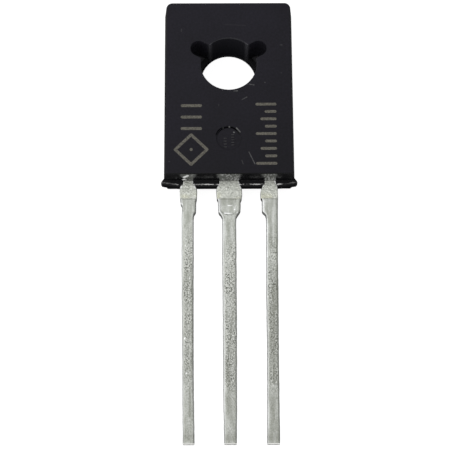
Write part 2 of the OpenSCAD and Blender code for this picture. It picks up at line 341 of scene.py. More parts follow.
def dipped_coat(s, place, across, y, streak):
    """Colour and relief below the dip line. The solder is streaky and smooth at first, then turns
    into a fine salt-and-pepper grain between a left edge with painted light and a right edge with
    painted shade. The grain fades again near the tip, and all of it gets darker on the way down."""
    streaks = s.stretched(place, (1.0, 0.45, 1.0))
    mottle = s.noise(streaks, 0.16, detail=3.0, roughness=0.65)
    streaky = s.math("ADD", s.math("MULTIPLY", streak, 0.5), s.math("MULTIPLY", mottle, 0.5))
    base = s.mix(s.step(streaky, 0.42, 0.58), (0.51, 0.525, 0.495, 1.0),
                 (0.40, 0.415, 0.375, 1.0))

    pits = s.noise(s.stretched(place, (1.0, 0.7, 1.0)), 0.070, detail=2.0, roughness=0.6)
    salt = s.mix(s.step(pits, 0.46, 0.60), (0.35, 0.365, 0.335, 1.0),
                 (0.71, 0.72, 0.68, 1.0))
    salt = s.mix(s.step(pits, 0.47, 0.38), salt, (0.08, 0.085, 0.07, 1.0))

    wander = s.spread(s.noise(s.stretched(place, (0.05, 1.0, 1.0)), 1.3, detail=1.0),
                      0.3, 0.7, -0.08, 0.08)
    off = s.math("ABSOLUTE", s.math("SUBTRACT", s.math("ADD", across, wander), 0.56))
    middle = s.step(off, 0.44, 0.30)
    patches = s.step(s.noise(s.stretched(place, (1.0, 0.5, 1.0)), 0.6, detail=1.0), 0.36, 0.56)
    down = s.step(y, -9.4 * MM, -12.5 * MM)
    near_tip = s.step(y, -18.6 * MM, -19.8 * MM)
    amount = s.math("MULTIPLY", s.spread(patches, 0.0, 1.0, 0.55, 1.0),
                    s.spread(down, 0.0, 1.0, 0.15, 1.0))
    amount = s.math("MULTIPLY", amount, s.spread(near_tip, 0.0, 1.0, 1.0, 0.28))
    pitted = s.math("MULTIPLY", middle, amount)
    base = s.mix(pitted, base, salt)

    # Painted light on the left edge and painted shade on the right edge.
    lit_left_edge = s.step(across, 0.18, 0.06)
    base = s.mix(s.math("MULTIPLY", lit_left_edge, 0.6), base, (0.66, 0.67, 0.67, 1.0))
    shaded_right_edge = s.step(across, 0.84, 1.0)
    base = s.mix(s.math("MULTIPLY", shaded_right_edge, 0.4), base, (0.36, 0.36, 0.34, 1.0))
    shade = s.spread(y, -9.4 * MM, -16.0 * MM, 0.0, 0.30)
    base = s.mix(shade, base, (0.16, 0.16, 0.145, 1.0))
    return base, s.math("MULTIPLY", pits, pitted)


def tinned(name):
    """Tin-lead coat on a copper leg, gritty above the dip line and smooth solder below it.

    UV x runs across the leg from 0 at its left edge to 1 at its right. The point attribute tone
    darkens single stains and creases and paints shade where it is below 0, and paints highlights
    and glints where it is above.
    """
    s = Shader(name)
    coords = s.node("ShaderNodeTexCoord")
    place = coords.outputs["Object"]
    across = s.node("ShaderNodeSeparateXYZ", {0: coords.outputs["UV"]}).outputs[0]
    tone = s.node("ShaderNodeAttribute", attribute_name="tone").outputs["Fac"]
    y = s.node("ShaderNodeSeparateXYZ", {0: place}).outputs[1]
    dipped = s.step(y, (DIP_LINE + 0.02) * MM, (DIP_LINE - 0.02) * MM)
    fine = s.noise(place, 0.065, detail=1.0)
    streak = s.noise(s.stretched(place, (1.0, 0.2, 1.0)), 0.25, detail=2.0)

    grit_base, grit_relief = gritty_coat(s, place, y, fine)
    solder_base, solder_relief = dipped_coat(s, place, across, y, streak)
    base = s.mix(dipped, grit_base, solder_base)
    # Below 0, tone darkens stains and creases and paints shade; above 0 it paints highlights.
    darker = s.math("MULTIPLY", s.math("MAXIMUM", s.math("MULTIPLY", tone, -1.0), 0.0),
                    s.spread(fine, 0.3, 0.7, 1.1, 0.8))
    base = s.mix(darker, base, (0.16, 0.165, 0.135, 1.0))
    base = s.mix(s.math("MAXIMUM", tone, 0.0), base, (0.97, 0.98, 0.98, 1.0))

    rough = s.math("ADD", s.spread(dipped, 0.0, 1.0, 0.50, 0.46),
                   s.spread(streak, 0.3, 0.7, -0.05, 0.06))
    relief = s.math("ADD", s.math("MULTIPLY", grit_relief, s.spread(dipped, 0.0, 1.0, 1.0, 0.0)),
                    s.math("MULTIPLY", solder_relief, dipped))
    bump = s.node("ShaderNodeBump", {"Height": relief, "Strength": 0.8,
                                     "Distance": 0.03 * MM}).outputs[0]
    shader = s.node("ShaderNodeBsdfPrincipled",
                    {"Base Color": base, "Metallic": 1.0, "Roughness": rough,
                     "Normal": bump})
    return s.finish(shader.outputs[0])


def plain_metal(name, light, dark, roughness, grain=0.1, stretch=(1.0, 1.0, 1.0), shade_skin=False):
    """Metal with a fine grain between two tones. When asked, it carries a black skin on the pad's
    front face round the screw hole: painted shade for the pad at the bottom of the deep slots."""
    s = Shader(name)
    place = s.node("ShaderNodeTexCoord").outputs["Object"]
    fleck = s.noise(s.stretched(place, stretch), grain, detail=3.0, roughness=0.6)
    cloud = s.noise(place, 1.6, detail=2.0)
    base = s.mix(s.spread(s.math("ADD", fleck, s.math("MULTIPLY", cloud, 0.7)), 0.6, 1.1,
                          0.0, 1.0), dark, light)
    bump = s.node("ShaderNodeBump", {"Height": fleck, "Strength": 0.5,
                                     "Distance": 0.006 * MM}).outputs[0]
    rough = s.spread(fleck, 0.3, 0.7, roughness - 0.06, roughness + 0.08)
    metallic = 1.0
    if shade_skin:
        # Painted shade: a black skin on the pad round the screw hole, for the deep shade in the
        # slots.
        shade_skin_r = 2.70
        height = s.node("ShaderNodeSeparateXYZ", {0: place}).outputs[2]
        radius = s.node("ShaderNodeVectorMath", {0: s.stretched(place, (1.0, 1.0, 0.0))},
                        operation="LENGTH").outputs["Value"]
        front = s.step(height, (PAD_FRONT_Z - 0.04) * MM, (PAD_FRONT_Z - 0.01) * MM)
        near_hole = s.step(radius, (shade_skin_r + 0.05) * MM, (shade_skin_r - 0.05) * MM)
        painted_slot_shade = s.math("MULTIPLY", front, near_hole)
        base = s.mix(painted_slot_shade, base, (0.0052, 0.0048, 0.0078, 1.0))
        rough = s.math("MAXIMUM", rough, s.math("MULTIPLY", painted_slot_shade, 0.6))
        metallic = s.math("SUBTRACT", 1.0, painted_slot_shade)
    shader = s.node("ShaderNodeBsdfPrincipled",
                    {"Base Color": base, "Metallic": metallic, "Roughness": rough,
                     "Normal": bump})
    return s.finish(shader.outputs[0])


def cut_end(name):
    """Bright sheared end of a leg, darker along its lower edge."""
    s = Shader(name)
    place = s.node("ShaderNodeTexCoord").outputs["Object"]
    height = s.node("ShaderNodeSeparateXYZ", {0: place}).outputs[2]
    ragged = s.spread(s.noise(place, 0.15, detail=2.0), 0.3, 0.7, -0.04 * MM, 0.04 * MM)
    sheared = s.step(s.math("ADD", height, ragged), 1.18 * MM, 1.28 * MM)
    base = s.mix(sheared, (0.20, 0.20, 0.19, 1.0), (1.0, 1.0, 0.97, 1.0))
    shader = s.node("ShaderNodeBsdfPrincipled", {"Base Color": base, "Metallic": 1.0,
                                                 "Roughness": 0.5})
    return s.finish(shader.outputs[0])


def ink(name):
    """Tan marking ink, a little worn, so that the dark case shows through in places."""
    s = Shader(name)
    place = s.node("ShaderNodeTexCoord").outputs["Object"]
    wear = s.noise(place, 0.09, detail=3.0, roughness=0.65)
    base = s.mix(s.step(wear, 0.60, 0.40), (0.124, 0.117, 0.098, 1.0),
                 (0.066, 0.062, 0.052, 1.0))
    shader = s.node("ShaderNodeBsdfPrincipled",
                    {"Base Color": base, "Roughness": 0.6, "Specular IOR Level": 0.2})
    return s.finish(shader.outputs[0])


def floor_material():
    """Pale floor that stays white behind the part and keeps the part's soft shadow.

    Mirrored rays see the same white, but darker in the part's shadow, and dark beside the case as
    painted shade, where the case's plan is a rectangle of half width CASE_HALF_W and half length
    case_reach.
    """
    s = Shader("pale_floor")
    rays = s.node("ShaderNodeLightPath").outputs
    shadow_reach = 7.0
    open_share = s.node("ShaderNodeAmbientOcclusion", {"Distance": shadow_reach * MM},
                        samples=8).outputs["AO"]
    parts = s.node("ShaderNodeSeparateXYZ",
                   {0: s.node("ShaderNodeTexCoord").outputs["Object"]}).outputs
    case_middle, case_reach = -1.5, 5.5
    beside = s.math("SUBTRACT", s.math("ABSOLUTE", parts[0]), CASE_HALF_W * MM)
    along = s.math("ABSOLUTE", s.math("ADD", parts[1], -case_middle * MM))
    away = s.math("MAXIMUM", beside, s.math("SUBTRACT", along, case_reach * MM))
    near_case = s.step(away, 2.5 * MM, 1.0 * MM)
    mirrored = s.math("MAXIMUM", rays["Is Glossy Ray"], rays["Is Transmission Ray"])
    shaded = s.math("MULTIPLY", mirrored, s.math("POWER", open_share, 3.0))
    # Painted shade: mirrored rays see the floor dark beside the case.
    shaded = s.math("MULTIPLY", shaded, s.math("SUBTRACT", 1.0, near_case))
    share = s.math("MAXIMUM", rays["Is Camera Ray"], shaded)
    paper = s.mix(mirrored, grey(0.22), grey(0.03))
    diffuse = s.node("ShaderNodeBsdfDiffuse", {"Color": paper})
    white = 0.93
    glow = s.node("ShaderNodeEmission", {"Color": grey(1.0),
                                         "Strength": s.math("MULTIPLY", share, white)})
    both = s.node("ShaderNodeAddShader", {0: diffuse.outputs[0], 1: glow.outputs[0]})
    return s.finish(both.outputs[0])


# ---------------------------------------------------------------- mesh helpers

def add_mesh(name, points, faces, materials, smooth=True):
    """Object with its mesh at the origin, from metres."""
    mesh = bpy.data.meshes.new(name)
    mesh.from_pydata([tuple(p) for p in points], [], faces)
    mesh.validate()
    for material in materials:
        mesh.materials.append(material)
    mesh.polygons.foreach_set("use_smooth", np.full(len(mesh.polygons), smooth))
    obj = bpy.data.objects.new(name, mesh)
    bpy.context.scene.collection.objects.link(obj)
    return obj


def ring_faces(rows, columns):
    """Quads of a tube of rows by columns, closed round the columns."""
    r = np.arange(rows - 1)[:, None]
    c = np.arange(columns)[None, :]
    nxt = (c + 1) % columns
    quads = np.stack([r * columns + c, r * columns + nxt,
                      (r + 1) * columns + nxt, (r + 1) * columns + c], axis=-1)
    return [tuple(int(v) for v in q) for q in quads.reshape(-1, 4)]


# ---------------------------------------------------------------- legs

def smooth_curve(y, knots, width=0.05):
    """Straight runs between the knots, then rounded by a running mean over width millimetres."""
    step = 0.005
    ky, kx = np.array(knots).T
    order = np.argsort(ky)
    fine = np.arange(-23.2, -6.0, step)
    value = np.interp(fine, ky[order], kx[order])
    box = np.ones(max(int(width / step), 1))
    value = np.convolve(np.pad(value, len(box), mode="edge"), box / box.sum(), "same")
    value = value[len(box):-len(box)]
    return np.interp(y, fine, value)


def tone_of(x, y, marks):
    """Sum of soft straight marks. Each mark (x0, y0, x1, y1, width, amount) adds amount times
    exp(-(d / width) ** 4), where d is the distance from its straight line."""
    total = np.zeros(np.broadcast(x, y).shape)
    for x0, y0, x1, y1, width, amount in marks:
        run, rise = x1 - x0, y1 - y0
        length = max(run * run + rise * rise, 1e-9)
        share = np.clip(((x - x0) * run + (y - y0) * rise) / length, 0.0, 1.0)
        away = np.hypot(x - x0 - share * run, y - y0 - share * rise)
        total += amount * np.exp(-(away / width) ** 4)
    return np.clip(total, -1.0, 1.0)


def leg_sections(xl, xr, half, radius):
    """X and Z of a leg's cross-sections, one row for each: rectangles with rounded corners, drawn
    as four corner arcs joined by straight runs. A section reaches from xl to xr, and from -half to
    half about the leg's middle plane."""
    corner_points, face_points, side_points = 6, 29, 5
    corner = np.linspace(0.0, math.pi / 2, corner_points)
    flat = np.linspace(0.0, 1.0, face_points)[1:-1]
    rise = np.linspace(0.0, 1.0, side_points)[1:-1]
    xs, zs = [], []
    cx, hx = (xl + xr) / 2, (xr - xl) / 2
    for quarter, (sx, sz) in enumerate([(1, 1), (-1, 1), (-1, -1), (1, -1)]):
        turn = corner + quarter * math.pi / 2
        xs.append(cx[:, None] + sx * (hx - radius)[:, None] + radius[:, None] * np.cos(turn))
        zs.append(sz * (half - radius)[:, None] + radius[:, None] * np.sin(turn))
        if quarter in (0, 2):
            sign = 1 if quarter == 0 else -1
            run = (hx - radius)[:, None] * (sign * (1 - 2 * flat))[None, :]
            xs.append(cx[:, None] + run)
            zs.append(np.repeat(sign * half[:, None], len(flat), axis=1))
        else:
            sign = -1 if quarter == 1 else 1
            side = xl if quarter == 1 else xr
            xs.append(np.repeat(side[:, None], len(rise), axis=1))
            zs.append((half - radius)[:, None] * (sign * (2 * rise - 1))[None, :])
    return np.concatenate(xs, axis=1), np.concatenate(zs, axis=1)


def leg(name, left, right, seed, marks, dish=None):
    """One leg as a tube of cross-sections along Y, closed at both ends.

    Each section reaches from the left edge curve to the right one, which are lists of (Y, X). The
    leg is thicker and its corners are rounder below the dip line, where solder coats it. Its
    edges and faces rise and fall by a few microns, and dish sinks a U-shaped patch in the front
    face. marks are the front face's stains and glints, with painted shade and painted highlights
    among them. The end at the tip is sheared metal.
    """
    rng = np.random.default_rng(seed)
    coarse_y, uv_length = -9.6, 10.0
    bare_half, coat = 0.225, 0.021
    bare_corner, coat_corner = 0.045, 0.035
    middle_z = (LEAD_BACK_Z + LEAD_FRONT_Z) / 2
    y = np.concatenate([np.arange(CUT_Y, coarse_y, -0.030), np.arange(coarse_y, TIP_Y, -0.06),
                        [TIP_Y + 0.02, TIP_Y]])
    xl, xr = smooth_curve(y, left), smooth_curve(y, right)

    def wobble(size, amount):
        """A smooth random curve along Y: random values every size millimetres, interpolated."""
        stops = np.arange(-23.5, -5.5, size)
        return np.interp(y, stops, rng.uniform(-amount, amount, len(stops)))

    below = np.clip((DIP_LINE + 0.03 - y) / 0.06, 0, 1)
    xl = xl + wobble(0.30, 0.006) + wobble(0.11, 0.004)
    xr = xr + wobble(0.30, 0.006) + wobble(0.11, 0.004)
    half = bare_half + coat * below + wobble(0.5, 0.002)
    x, z = leg_sections(xl, xr, half, bare_corner + coat_corner * below)
    if dish is not None:
        on_front = z > 0.15
        z = z + dish(x, y[:, None]) * on_front
    z = z + middle_z
    columns = x.shape[1]
    yy = np.repeat(y[:, None], columns, axis=1)
    points = np.stack([x, yy, z], axis=-1).reshape(-1, 3) * MM
    faces = ring_faces(len(y), columns)
    last = (len(y) - 1) * columns
    faces.append(tuple(range(columns - 1, -1, -1)))
    faces.append(tuple(range(last, last + columns)))
    obj = add_mesh(name, points, faces, [tin, cut_metal])
    mesh = obj.data
    tip_end = mesh.polygons[-1]
    tip_end.use_smooth = False
    tip_end.material_index = 1
    uv = mesh.uv_layers.new(name="UVMap")
    index = np.zeros(len(mesh.loops), np.int32)
    mesh.loops.foreach_get("vertex_index", index)
    share = ((x - xl[:, None]) / (xr - xl)[:, None]).reshape(-1)
    along = (yy / uv_length).reshape(-1)
    uv.data.foreach_set("uv", np.stack([share[index], along[index]], axis=-1).reshape(-1))
    tone = tone_of(x, yy, marks) * (z > middle_z)
    mesh.attributes.new("tone", "FLOAT", "POINT").data.foreach_set("value", tone.reshape(-1))
    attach(obj, "root")


def coin_patch(x, y):
    """Height of the U-shaped patch on the middle leg: a flat floor sunk by depth inside a U that
    runs from the dip line to a round end, with walls about 0.05 mm wide, and one short ridge."""
    depth, round_y, round_len = 0.018, -8.62, 0.46
    half = np.where(x < 0, 0.60, 0.50)
    down = np.maximum(round_y - y, 0.0)
    away = np.hypot(x / half, down / round_len)
    inside = np.clip((1.0 - away) / 0.10, 0, 1)
    inside = inside * np.clip((DIP_LINE - y) / 0.05, 0, 1)
    ridge = 0.014 * np.exp(-((x - 0.08) / 0.07) ** 2 - ((y + 8.50) / 0.035) ** 2)
    return ridge - depth * inside * inside * (3 - 2 * inside)


def sealed_part(node, name):
    """The part of a CAD lead node that lies inside the case: a merged copy, cut square at CUT_Y."""
    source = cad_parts[node]
    cell = bmesh.new()
    cell.from_mesh(source.data)
    bmesh.ops.remove_doubles(cell, verts=cell.verts, dist=1e-7)
    geometry = list(cell.verts) + list(cell.edges) + list(cell.faces)
    bmesh.ops.bisect_plane(cell, geom=geometry, dist=1e-8, plane_co=(0, CUT_Y * MM, 0),
                           plane_no=(0, -1, 0), clear_outer=True)
    bmesh.ops.holes_fill(cell, edges=[e for e in cell.edges if e.is_boundary])
    mesh = bpy.data.meshes.new(name)
    cell.to_mesh(mesh)
    cell.free()
    mesh.materials.clear()
    mesh.materials.append(pad_metal)
    obj = bpy.data.objects.new(name, mesh)
    bpy.context.scene.collection.objects.link(obj)
    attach(obj, "root")
    return obj


# ---------------------------------------------------------------- marking

def stroke(start, end, width, base_z, height):
    """Flat bar with round ends in plan: two half circles of points joined into one outline,
    lifted from base_z to base_z plus height. Returns points and faces."""
    start, end = np.array(start, float), np.array(end, float)
    run, rise = end - start
    heading = math.atan2(rise, run)
    turn = heading + np.linspace(-math.pi / 2, math.pi / 2, 9)
    half_round = width / 2 * np.stack([np.cos(turn), np.sin(turn)], axis=-1)
    rim = np.concatenate([end + half_round, start - half_round])
    count = len(rim)
    low = np.column_stack([rim, np.full(count, base_z)])
    high = np.column_stack([rim, np.full(count, base_z + height)])
    faces = [tuple(range(count, 2 * count)), tuple(range(count - 1, -1, -1))]
    faces += [(i, (i + 1) % count, count + (i + 1) % count, count + i) for i in range(count)]
    return np.concatenate([low, high]), faces


def strokes(name, lines, width, base_z, height, material):
    """All the bars of one printed or raised mark in a single mesh. Each is a little higher than
    the one before it, so that crossing bars share no plane."""
    lift = 0.0005
    points, faces, used = [], [], 0
    for count, (start, end) in enumerate(lines):
        p, f = stroke(start, end, width, base_z, height + lift * count)
        points.append(p)
        faces += [tuple(i + used for i in face) for face in f]
        used += len(p)
    obj = add_mesh(name, np.concatenate(points) * MM, faces, [material], smooth=False)
    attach(obj, "root")


def marking():
    """Plain ink shapes on the front face: a diamond outline round a dot, three bars above it, and
    a graduated row of nine bars that end on one line at the right."""
    line_w, bar_w = 0.17, 0.18
    ink_base, ink_height = FACE_Z - 0.002, 0.006
    cx, cy, r = -2.20, -5.43, 0.92
    corner = [(cx, cy + r), (cx + r, cy), (cx, cy - r), (cx - r, cy)]
    diamond = [(corner[i], corner[(i + 1) % 4]) for i in range(4)]
    diamond.append(((cx, cy + 0.01), (cx, cy - 0.01)))
    strokes("mark_diamond", diamond, line_w, ink_base, ink_height, marking_ink)
    bars = [((-2.72, y), (-1.66, y)) for y in (-4.12, -3.40, -2.68)]
    strokes("mark_bars", bars, bar_w, ink_base, ink_height, marking_ink)
    right, long, medium, short = 2.68, 1.05, 0.78, 0.52
    reaches = 2 * (long, short, medium, short) + (long,)
    scale = [((right - reach, y), (right, y))
             for reach, y in zip(reaches, np.linspace(-6.30, -2.60, 9))]
    strokes("mark_scale", scale, line_w, ink_base, ink_height, marking_ink)


def dish_ticks():
    """Two columns of short raised bars on the floor of the round dish."""
    tick_w, tick_base, tick_height = 0.055, FACE_Z - 0.055, 0.030
    ticks = [((-0.30, y), (-0.15, y)) for y in (-4.72, -4.90, -5.08, -5.26)]
    ticks += [((0.14, y), (0.28, y)) for y in (-4.50, -4.66, -4.82, -4.98, -5.14)]
    strokes("dish_ticks", ticks, tick_w, tick_base, tick_height, worn_epoxy)


def dish_shoulder():
    """Shoulder inside the upper rim of the round dish, swept from 28 to 166 degrees about
    the dish's centre and coloured black as painted shade. Its section falls straight from the rim
    at the face to 0.070 mm inside it on the dish's floor, and is narrowed to a point at both ends.
    Past 100 degrees it also spreads outward on the face, by up to 0.07 mm."""
    count = 49
    sweep = np.linspace(28.0, 166.0, count)
    turn = np.radians(sweep)
    taper = np.sin(np.linspace(0.0, math.pi, count)) ** 0.35
    spread = 0.07 * taper * np.clip((sweep - 100.0) / 30.0, 0, 1)
    section = ((DISH_RIM + spread, FACE_Z + 0.003), (DISH_RIM - 0.001 * taper, FACE_Z + 0.003),
               (DISH_RIM - 0.070 * taper, FACE_Z - 0.048), (DISH_RIM + spread, FACE_Z - 0.052))
    points = [np.stack([DISH_X + r * np.cos(turn), DISH_Y + r * np.sin(turn),
                        np.full(count, height)], axis=-1) for r, height in section]
    faces = []
    for side in range(4):
        low, high = side * count, (side + 1) % 4 * count
        faces += [(low + i, low + i + 1, high + i + 1, high + i) for i in range(count - 1)]
    obj = add_mesh("dish_shoulder", np.concatenate(points) * MM, faces, [shadow_epoxy],
                   smooth=False)
    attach(obj, "root")


# ---------------------------------------------------------------- the case

def dress_case():
    """Gives each face of the case its finish: matte on the front, the back and in the round dish,
    satin on the drafted walls, black in the hole and its slots, polished on the lead end above
    the leads, and torn on the flash."""
    matte, satin, black, polished, torn_edge = range(5)
    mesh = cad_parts["case"].data
    mesh.materials.clear()
    for material in (face_epoxy, wall_epoxy, hole_epoxy, end_epoxy, torn_epoxy):
        mesh.materials.append(material)
    count = len(mesh.polygons)
    normal, centre = np.zeros(count * 3), np.zeros(count * 3)
    mesh.polygons.foreach_get("normal", normal)
    mesh.polygons.foreach_get("center", centre)
    normal, centre = normal.reshape(-1, 3), centre.reshape(-1, 3) / MM
    x, y, z = centre.T
    near_face, near_back = z > FACE_Z - 0.2, z < 0.2
    in_hole = (np.hypot(x, y) < SLOTS_R) & (normal[:, 2] < 0.9) & (z > 0.001)
    in_dish = (np.hypot(x - DISH_X, y - DISH_Y) < DISH_RIM + 0.065) & near_face
    lead_end = (normal[:, 1] < -0.97) & (np.abs(y - CASE_FOOT) < 0.2) & (z > LEAD_FRONT_Z)
    flash = (y < CASE_FOOT - 0.05) & (z > LEAD_BACK_Z - 0.01)
    kind = np.where((np.abs(normal[:, 2]) > 0.9) & (near_face | near_back), matte, satin)
    kind = np.where(in_hole, black, kind)
    kind = np.where(in_dish, matte, kind)
    kind = np.where(lead_end, polished, kind)
    kind = np.where(flash, torn_edge, kind)
    mesh.polygons.foreach_set("material_index", kind.astype(np.int32))
    mesh.update()


def dress_inner():
    """Metal finishes for the pieces sealed in the case."""
    silicon = plain_metal("silicon", (0.26, 0.27, 0.30, 1.0), (0.16, 0.17, 0.20, 1.0), 0.2)
    solder = plain_metal("die_solder_metal", (0.55, 0.55, 0.56, 1.0), (0.40, 0.40, 0.41, 1.0),
                         0.4)
    wire = plain_metal("wire_metal", (0.82, 0.83, 0.84, 1.0), (0.70, 0.71, 0.72, 1.0), 0.25,
                       grain=0.03)
    looks = {"silicon_die": silicon, "die_solder": solder, "emitter_wire": wire,
             "base_wire": wire}
    for node, look in looks.items():
        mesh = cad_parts[node].data
        mesh.materials.clear()
        mesh.materials.append(look)


# ---------------------------------------------------------------- light

def make_world():
    """Soft surroundings, lighter on the left and darker on the right. Seen directly, they are
    plain white."""
    s = Shader("studio", "world")
    way = s.node("ShaderNodeSeparateXYZ",
                 {0: s.node("ShaderNodeTexCoord").outputs["Generated"]})
    soft = s.spread(way.outputs[0], -1.0, 1.0, 0.90, 0.55)
    rays = s.node("ShaderNodeLightPath").outputs
    seen = s.math("MAXIMUM", rays["Is Camera Ray"], rays["Is Transmission Ray"])
    strength = s.node("ShaderNodeMix", {0: seen, 2: soft, 3: 1.0}).outputs[0]
    back = s.node("ShaderNodeBackground", {"Color": grey(1.0), "Strength": strength})
    bpy.context.scene.world = s.finish(back.outputs[0])


def softbox(name, place, size, level):
    """Square area lamp turned to LAMP_AIM. Its power is set so that, square on at the part, it
    adds level to the brightness of a white surface."""
    data = bpy.data.lights.new(name, "AREA")
    data.shape = "SQUARE"
    data.size = size * MM
    gap = (Vector(place) - Vector(LAMP_AIM)) * MM
    data.energy = level * math.pi ** 2 * gap.length_squared
    obj = bpy.data.objects.new(name, data)
    turn = gap.to_track_quat("Z", "Y").to_matrix().to_4x4()
    obj.matrix_world = Matrix.Translation(Vector(place) * MM) @ turn
    bpy.context.scene.collection.objects.link(obj)


def make_floor():
    """Wide plain floor."""
    far = 400.0
    plan = [(-far, -far), (far, -far), (far, far), (-far, far)]
    points = np.array([(x, y, FLOOR_Z) for x, y in plan]) * MM
    obj = add_mesh("floor", points, [(0, 1, 2, 3)], [floor_material()], smooth=False)


# ---------------------------------------------------------------- the scene

make_camera()
# Most face marks are scratches and specks. The four dark marks along the round dish's upper rim are
# painted shade, and the bright streak on its upper right rim is a painted highlight.
face_wear_and_painted_light = [
    (1.139, -5.595, 1.477, -6.338, 0.035, 0.8), (0.72, -6.10, 0.80, -6.33, 0.030, 0.35),
    (0.30, -1.755, 0.50, -1.745, 0.040, 0.95), (1.19, -1.32, 1.48, -1.37, 0.045, 0.7),
    (2.10, -1.21, 2.13, -1.22, 0.040, 0.5), (0.76, -2.30, 1.05, -2.14, 0.040, 0.5),
    (-2.78, 2.25, -2.80, 2.10, 0.040, 0.3), (-0.27, 2.55, 1.00, 2.48, 0.040, 0.10),
    (-0.76, -4.50, -0.45, -4.13, 0.085, -0.95), (-0.45, -4.13, -0.12, -3.98, 0.060, -0.9),
    (-0.12, -3.98, 0.22, -4.03, 0.055, -0.8), (0.22, -4.06, 0.62, -4.50, 0.040, -0.7),
    (0.43, -4.10, 0.62, -4.34, 0.055, 1.0), (0.01, -4.02, 0.02, -4.02, 0.060, 1.0),
    (0.27, -4.34, 0.29, -4.35, 0.060, 1.0), (-0.35, -4.06, -0.34, -4.10, 0.045, 0.4),
    (-3.47, -6.15, -3.45, -6.16, 0.045, 0.5), (3.05, 1.20, 3.15, 1.20, 0.040, 0.35),
    (3.08, -0.60, 3.09, -0.61, 0.035, 0.3), (-0.60, -2.62, -0.59, -2.70, 0.035, 0.25),
]
face_epoxy = epoxy("face_epoxy", (0.0100, 0.0092, 0.0142), 0.55, 0.12, marks=face_wear_and_painted_light)
wall_epoxy = epoxy("wall_epoxy", (0.0035, 0.0035, 0.0045), 0.45, 0.12, polish=True)
hole_epoxy = bore("hole_epoxy")
# The first three end marks are painted reflections of the three legs in the polished lead end, and
# the next two are chips.
end_chips_and_painted_reflections = [
    (-2.38, 1.60, -2.38, 2.50, 0.40, 0.50), (0.0, 1.60, 0.0, 2.50, 0.75, 0.50),
    (2.37, 1.60, 2.37, 2.50, 0.42, 0.42), (-2.62, 2.06, -2.40, 2.28, 0.11, 1.0),
    (-2.68, 1.72, -2.58, 1.78, 0.08, 1.0), (-3.05, 1.9, -2.75, 2.0, 0.12, 0.25),
]
end_epoxy = epoxy("end_epoxy", (0.0030, 0.0030, 0.0040), 0.06, 0.50, polish=True,
                  marks=end_chips_and_painted_reflections, upright=True)
torn_epoxy = torn("torn_epoxy")
worn_epoxy = epoxy("worn_epoxy", (0.050, 0.048, 0.053), 0.55, 0.12)
shadow_epoxy = epoxy("shadow_epoxy", (0.0008, 0.0008, 0.0012), 0.70, 0.02, marks=face_wear_and_painted_light)
tin = tinned("tinned_leg")
cut_metal = cut_end("cut_end")
pad_metal = plain_metal("tinned_pad", (0.60, 0.61, 0.575, 1.0), (0.44, 0.45, 0.42, 1.0), 0.36,
                        stretch=(1.0, 0.3, 1.0), shade_skin=True)
marking_ink = ink("marking_ink")

dress_case()
dress_inner()
# In the legs' marks, the dark line along each leg's root at Y -6.935, the dark lines along the dip
# line and the dark edges of the U patch are painted shade. The bright marks on the flared shoulders
# near the case, in the U patch and the small bright specks are painted highlights. The rest are
# stains and streaks.
leg(
    "collector_leg",
    left=[(-6.0, -0.590), (-6.92, -0.590), (-7.16, -0.622), (-7.32, -0.69), (-7.45, -0.757),
          (-7.78, -0.737), (-8.06, -0.715), (-8.20, -0.66), (-8.64, -0.652), (-8.88, -0.640),
          (-9.07, -0.49), (-9.22, -0.415), (-11.8, -0.43), (-14.1, -0.415), (-19.9, -0.404),
          (-21.95, -0.374), (-22.6, -0.36)],
    right=[(-6.0, 0.577), (-6.92, 0.577), (-7.16, 0.620), (-7.32, 0.67), (-7.45, 0.722),
           (-7.78, 0.742), (-8.06, 0.702), (-8.20, 0.645), (-8.64, 0.643), (-8.76, 0.635),
           (-8.86, 0.590), (-9.07, 0.45), (-9.20, 0.392), (-9.50, 0.380), (-14.1, 0.386),
           (-19.9, 0.358), (-21.95, 0.33), (-22.6, 0.32)],
    seed=11,
    marks=[(-0.48, -8.085, 0.36, -8.085, 0.045, -0.55), (0.36, -8.09, 0.56, -8.09, 0.035, -0.25),
           (-0.42, -8.13, 0.30, -8.13, 0.10, -0.12), (-0.30, -8.30, 0.25, -8.40, 0.16, -0.10),
           (-0.30, -8.955, -0.02, -8.975, 0.030, 0.95), (-0.02, -8.975, 0.10, -8.95, 0.025, 0.4),
           (-0.07, -8.481, 0.14, -8.475, 0.030, 0.95), (0.29, -8.733, 0.29, -8.74, 0.045, 0.8),
           (0.45, -8.92, 0.45, -8.92, 0.040, 0.7), (-0.61, -8.16, -0.59, -8.88, 0.050, 0.42),
           (0.40, -8.20, 0.31, -8.72, 0.025, 0.16), (0.56, -8.16, 0.55, -8.85, 0.07, -0.10),
           (0.20, -8.16, 0.16, -8.45, 0.12, -0.08), (-0.58, -8.93, -0.44, -9.12, 0.030, -0.40),
           (0.57, -8.90, 0.43, -9.10, 0.030, -0.30), (-0.33, -9.12, -0.28, -9.24, 0.05, -0.30),
           (-0.05, -9.60, 0.02, -11.00, 0.09, -0.22), (-0.25, -9.50, -0.25, -11.0, 0.06, 0.14),
           (-0.33, -11.14, 0.33, -11.12, 0.03, -0.16), (0.15, -14.9, -0.09, -17.3, 0.050, -0.50),
           (-0.14, -17.7, -0.12, -19.1, 0.12, -0.42), (-0.20, -18.2, -0.05, -18.9, 0.06, -0.20),
           (-0.10, -19.9, -0.05, -20.9, 0.16, -0.30), (-0.35, -22.05, 0.35, -22.05, 0.22, -0.26),
           (-0.33, -14.0, -0.33, -21.0, 0.05, 0.16), (-0.575, -7.00, -0.60, -7.17, 0.030, 0.6),
           (-0.61, -7.17, -0.73, -7.42, 0.040, 0.8), (0.545, -7.00, 0.59, -7.17, 0.042, 0.85),
           (0.60, -7.20, 0.69, -7.43, 0.035, 0.7), (-0.60, -6.935, 0.60, -6.935, 0.022, -0.7)],
    dish=coin_patch)
